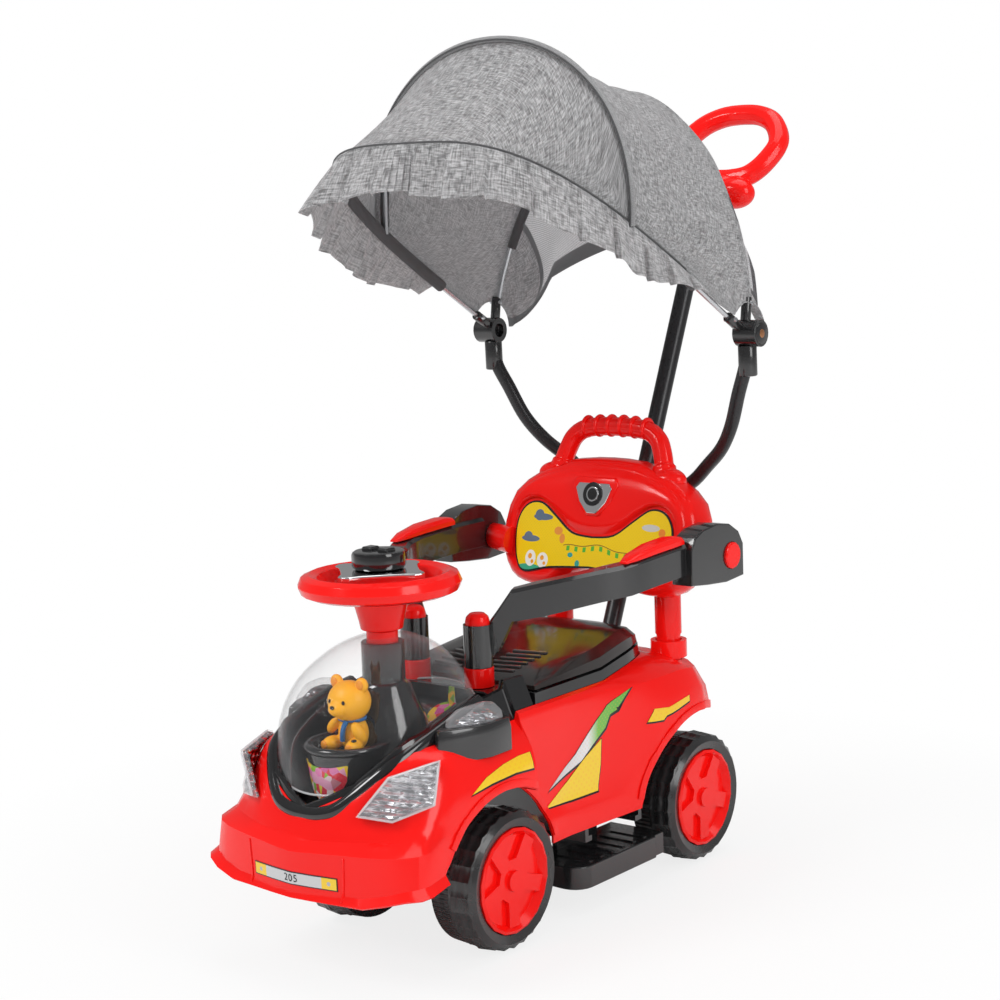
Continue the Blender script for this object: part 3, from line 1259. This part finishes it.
def arch_angles():
    """Angles of the canopy's columns; the side where the middle hoop starts has its own."""
    leave = math.asin((MIDDLE_HOOP_START / FRONT_HOOP_REACH) ** (1 / FRONT_ARCH_POWER))
    low = [leave * k for k in (0.10, 0.36, 0.68)]
    high = [leave + (math.pi / 2 - leave) * k / 7 for k in range(8)]
    half = low + high
    return half + [math.pi - t for t in half[-2::-1]], leave


def front_point(t, clear):
    across, out = arch(t, FRONT_ARCH_POWER)
    return canopy_point((CANOPY_X + clear) * across, (FRONT_HOOP_REACH + clear) * out,
                        FRONT_HOOP_TILT)


def middle_point(t, leave, clear):
    """The middle hoop leaves the sides of the front hoop and arches up behind it."""
    side = min(t, math.pi - t)
    if side <= leave + 1e-6 and clear > HOOP_RADIUS:
        return front_point(t, clear)
    angle = (side - leave) / (math.pi / 2 - leave) * math.pi / 2
    across, out = arch(max(angle, 0.0), MIDDLE_ARCH_POWER)
    narrow = arch(leave, FRONT_ARCH_POWER)[0]
    half = CANOPY_X * (narrow + (1 - narrow) * min(1.0, 1.6 * out)) + clear
    half -= 0.0 if clear > HOOP_RADIUS else 2 * HOOP_RADIUS + 0.0005
    share = MIDDLE_HOOP_START / FRONT_HOOP_REACH
    low = canopy_point(0, (FRONT_HOOP_REACH + clear) * share, FRONT_HOOP_TILT)
    high = canopy_point(0, MIDDLE_HOOP_REACH + clear * 1.3, MIDDLE_HOOP_TILT)
    point = low.lerp(high, out)
    point.x = math.copysign(half * across, math.cos(t))
    return point


def rear_point(t, clear):
    across, out = arch(t, REAR_ARCH_POWER)
    return canopy_point((CANOPY_X + clear) * across, (REAR_HOOP_REACH + clear) * out,
                        REAR_HOOP_TILT)


def back_cover_point(t, share, clear):
    """Cloth behind the rear hoop: it ends high at the middle and low at the side lobes."""
    across, out = arch(t, REAR_ARCH_POWER)
    side_share = max(0.0, min(1.0, (abs(across) - 0.80) / 0.17))
    last = math.radians(COVER_END + (LOBE_END - COVER_END) * side_share)
    tilt = REAR_HOOP_TILT + (last - REAR_HOOP_TILT) * share
    reach = track(math.degrees(tilt), [(96, 0.300), (106, 0.279), (118, 0.245), (130, 0.214),
                                       (144, 0.181), (160, 0.148), (178, 0.124)]) + clear
    waist = REAR_WAIST * math.sin(math.pi * min(1.0, share)) ** 2 * min(1.0, (out / 0.4) ** 1.5)
    width = CANOPY_X + clear - waist
    fold = COVER_FOLD * math.sin(t * 13.0 + share * 8.0) * out * share * (1.0 if share < 1 else 0.5)
    return canopy_point(width * across, reach * out + fold, tilt)


def canopy_frame():
    """Tubes, side knuckles and the three hoops."""
    y1, z1 = CANOPY_Y, CANOPY_Z
    for side, label in ((1, "left"), (-1, "right")):
        keys = [(0.0125, 0.262, 0.440), (0.045, 0.258, 0.448), (0.079, 0.254, 0.463),
                (0.110, 0.249, 0.485), (0.142, 0.243, 0.511), (0.167, 0.235, 0.541),
                (0.182, 0.226, 0.580), (0.191, 0.212, 0.610), (0.193, y1, 0.626),
                (0.193, y1, z1 - KNUCKLE_RADIUS - 0.0006)]
        path = [Vector((side * p.x, p.y, p.z)) for p in smooth_points(keys, 1)]
        tube = rod(path, 0.0085, 10)
        plate = pole_piece(POLE_RADIUS + GAP, 0.10, 0.30, 20)
        new_object("canopy_tube_" + label, minus(tube, plate), black(), "car", smooth=45)
        x0, x1 = sorted((side * (CANOPY_X - 0.008), side * (CANOPY_X + KNUCKLE_REACH)))
        hub_piece = rod_along_x(KNUCKLE_RADIUS, x0, x1, y1, z1, 20)
        x0, x1 = sorted((side * (CANOPY_X - 0.012), side * CANOPY_X))
        hub_piece = minus(hub_piece, rod_along_x(0.0088, x0, x1, y1, z1, 20))
        new_object("canopy_knuckle_" + label, hub_piece, black(), "car")
    angles, leave = arch_angles()
    base = KNUCKLE_RADIUS + 0.0008
    ends = [[canopy_point(x * CANOPY_X, base, tilt) for x in (1, -1)]
            for tilt in (FRONT_HOOP_TILT, REAR_HOOP_TILT)]
    front = [ends[0][0]] + [front_point(t, 0.0) for t in angles[1:-1]] + [ends[0][1]]
    new_object("hoop_front", rod(front, HOOP_RADIUS, 6), steel(), "canopy")
    middle = [middle_point(t, leave, 0.0) for t in angles[3:-3]]
    new_object("hoop_middle", rod(middle, HOOP_RADIUS, 6), steel(), "canopy")
    back = [ends[1][0]] + [rear_point(t, 0.0) for t in angles[1:-1]] + [ends[1][1]]
    new_object("hoop_rear", rod(back, HOOP_RADIUS, 6), steel(), "canopy")


def canopy_cover():
    """Cloth over the three hoops, with side lobes at the rear and a hanging frill."""
    angles, leave = arch_angles()
    clear_of_rods = HOOP_RADIUS + CLOTH_THICK + 0.0012
    rows = []
    for forward, drop in ((0.010, FRILL_DEPTH), (0.0095, FRILL_DEPTH * 0.5), (0.005, 0.006)):
        row = []
        for i, t in enumerate(angles):
            across, out = arch(t, FRONT_ARCH_POWER)
            wave = FRILL_WAVE * math.sin(i * 2.6) * drop / FRILL_DEPTH
            push = Vector((0.3 * across, -1.0 * out, 0.0)) * (forward + wave)
            fade = max(0.12, min(1.0, 2.4 * out - 0.45))
            row.append(front_point(t, clear_of_rods) + push - Vector((0, 0, drop * fade)))
        rows.append(row)
    for share in (0.0, 0.33, 0.66, 1.0):
        row = []
        for t in angles:
            crown = max(0.0, (min(t, math.pi - t) - leave) / (math.pi / 2 - leave))
            clear_here = clear_of_rods - COVER_SAG * math.sin(math.pi * share) * crown
            row.append(front_point(t, clear_here).lerp(middle_point(t, leave, clear_here), share))
        rows.append(row)
    for share in (0.33, 0.66, 1.0):
        row = []
        for t in angles:
            point = middle_point(t, leave, clear_of_rods).lerp(rear_point(t, clear_of_rods), share)
            point.z -= REAR_SAG * math.sin(math.pi * share) * arch(t, REAR_ARCH_POWER)[1]
            row.append(point)
        rows.append(row)
    for share in (0.2, 0.4, 0.6, 0.8, 1.0):
        rows.append([back_cover_point(t, share, clear_of_rods) for t in angles])
    sheet = loft(rows, cap_start=False, cap_end=False, closed_rings=False)
    bmesh.ops.remove_doubles(sheet, verts=sheet.verts, dist=1e-5)
    bmesh.ops.recalc_face_normals(sheet, faces=sheet.faces)
    top = max(sheet.faces, key=lambda face: face.calc_center_median().z)
    if top.normal.z < 0:
        bmesh.ops.reverse_faces(sheet, faces=sheet.faces)
    shape = solid_of_sheet(sheet, CLOTH_THICK)
    for x0, x1 in ((0.165, 0.206), (-0.206, -0.165)):
        shape = minus(shape, rod_along_x(0.037, x0, x1, CANOPY_Y, CANOPY_Z, 24))
    new_object("canopy_cover", shape, grey_cloth(), "canopy", smooth=60)


# Footboards

def footboard(side, label):
    """Sliding foot rest with a rounded front corner, a web and a flange below the pan."""
    y0, y1, middle = BOARD_FRONT_Y, BOARD_REAR_Y, (BOARD_FRONT_Y + BOARD_REAR_Y) / 2
    inner, outer = BOARD_INNER_X, BOARD_OUTER_X
    outline = [(inner, y0 + 0.004), (outer - 0.030, y0)]
    outline += arc((outer - 0.024, y0 + 0.024), 0.024, -90, 0, 5)
    outline += [(outer, y1 - 0.022), (outer - 0.004, y1 - 0.018), (outer - 0.004, y1), (inner, y1)]
    board = prism(outline, BOARD_TOP_Z - BOARD_THICK, BOARD_TOP_Z, bevel=0.0015)
    hollow = [(inner + 0.004, y0 + 0.009), (outer - 0.032, y0 + 0.006)]
    hollow += arc((outer - 0.024, y0 + 0.024), 0.018, -90, 0, 5)
    hollow += [(outer - 0.008, y1 - 0.005), (inner + 0.004, y1 - 0.005)]
    board = minus(board, prism(hollow, BOARD_TOP_Z - BOARD_THICK - 0.01, BOARD_TOP_Z - 0.005))
    step = (y1 - y0 - 0.066) / 5
    for i in range(6):
        y = y0 + 0.030 + i * step
        board = union(board, block((inner + 0.024, y, BOARD_TOP_Z - 0.001),
                                   (outer - 0.008, y + 0.006, BOARD_TOP_Z + 0.0015)))
    web = block((inner + 0.006, middle - 0.040, BOARD_TOP_Z - 0.002),
                (inner + 0.014, middle + 0.040, PAN_Z - 0.006))
    flange = block((inner, middle - 0.050, 0.0875), (inner + 0.024, middle + 0.050, PAN_Z - 0.0005))
    board = union(board, web, flange)
    if side < 0:
        mirrored(board)
    new_object("footboard_" + label, board, black(), "footboard_" + label, smooth=30)


# Build

def build():
    pivot("car", (0, 0, 0))
    pivot("steering", (0, COLUMN_Y, 0.2))
    pivot("horn_button_left", (0.0125, COLUMN_Y, 0.44), "steering")
    pivot("horn_button_right", (-0.0125, COLUMN_Y, 0.44), "steering")
    pivot("tie_rod", (0, -WHEELBASE / 2 - STEER_ARM, 0.107))
    pivot("seat_lid", (0, TRAY_FRONT_Y + 0.0034, LID_HINGE_Z))
    pivot("canopy", (0, CANOPY_Y, CANOPY_Z))
    for side, label in ((1, "left"), (-1, "right")):
        pivot("knuckle_" + label, (side * KING_PIN_X, -WHEELBASE / 2, 0.1))
        pivot("front_wheel_" + label, (side * 0.1, -WHEELBASE / 2, WHEEL_RADIUS),
              "knuckle_" + label)
        pivot("rear_wheel_" + label, (side * 0.1, WHEELBASE / 2, WHEEL_RADIUS))
        pivot("arm_" + label, (side * 0.178, ARM_PIVOT_Y, ARM_PIVOT_Z))
        pivot("latch_button_" + label, (side * POST_X, POST_Y, SLEEVE_TOP_Z), "arm_" + label)
        pivot("hinge_button_" + label, (side * 0.195, ARM_PIVOT_Y, ARM_PIVOT_Z + 0.002),
              "arm_" + label)
        pivot("footboard_" + label, (side * 0.09, (BOARD_FRONT_Y + BOARD_REAR_Y) / 2, BOARD_TOP_Z))
    body_shell()
    chassis_pan()
    console()
    windshield()
    bear()
    head_lamps()
    pods()
    seat_tray()
    seat_lid()
    rear_axle()
    steering_pieces()
    tie_rod()
    backrest()
    back_badges()
    push_pole()
    push_handle()
    canopy_frame()
    canopy_cover()
    for side, label in ((1, "left"), (-1, "right")):
        knuckle("knuckle_" + label, side, "knuckle_" + label)
        for end, y in (("front", -WHEELBASE / 2), ("rear", WHEELBASE / 2)):
            body = end + "_wheel_" + label
            tyre("tyre_" + end + "_" + label, side, y, body)
            hub("hub_" + end + "_" + label, side, y, body)
        front_post("front_post_" + label, side)
        rear_post("rear_post_" + label, side)
        arm(side, label)
        footboard(side, label)


def centre_origin():
    """Move the car along Y so that the origin is below the middle of its length."""
    bpy.context.view_layer.update()
    ends = [(piece.matrix_world @ vert.co).y for piece in bpy.data.objects
            if piece.type == 'MESH' for vert in piece.data.vertices]
    PIVOTS["car"][0].location.y = -(min(ends) + max(ends)) / 2


build()
centre_origin()
bpy.context.view_layer.update()
